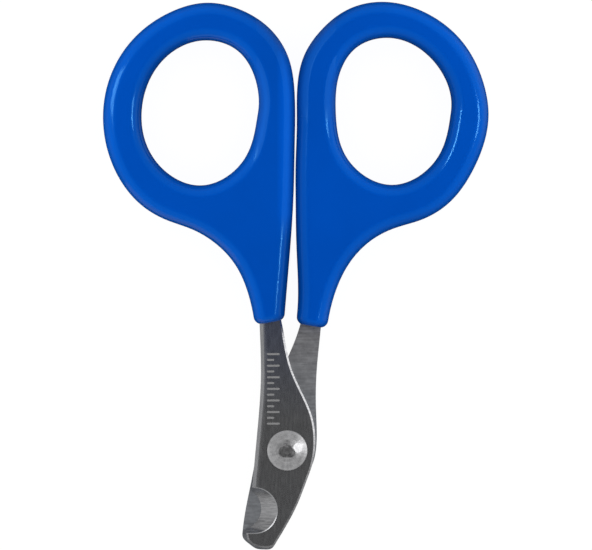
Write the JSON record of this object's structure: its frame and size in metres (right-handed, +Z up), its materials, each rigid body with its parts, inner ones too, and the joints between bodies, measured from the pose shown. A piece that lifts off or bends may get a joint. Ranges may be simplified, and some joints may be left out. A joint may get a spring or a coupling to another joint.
{
  "type": "pet nail trimmer",
  "caption": "Small scissor-type pet nail trimmer: two riveted steel blades with facing round nail notches and moulded plastic finger-loop grips.",
  "frame": {"origin": "middle of the closed tool's footprint, on the surface that it lies on", "axes": "+Y towards the finger loops, -Y towards the blade tips, +Z up through the pivot, with the front blade above the rear blade"},
  "size_m": [0.0633, 0.0899, 0.0065],
  "materials": {
    "blade_steel": "ground and lightly polished stainless steel",
    "grip_plastic": "glossy moulded blue plastic",
    "rivet_steel": "cold-headed, tumbled steel",
    "washer_steel": "stamped steel"
  },
  "bodies": {
    "rear_half": {"rear_blade": "blade_steel", "rear_grip": "grip_plastic", "pivot_rivet": "rivet_steel", "rivet_washer": "washer_steel"},
    "front_half": {"front_blade": "blade_steel", "front_grip": "grip_plastic"}
  },
  "joints": [
    {"name": "blade_pivot", "type": "hinge", "parent": "rear_half", "child": "front_half", "pos_m": [-0.00142, -0.0287, 0.0032], "axis": [0, 0, 1], "range_deg": [0, 60]}
  ]
}
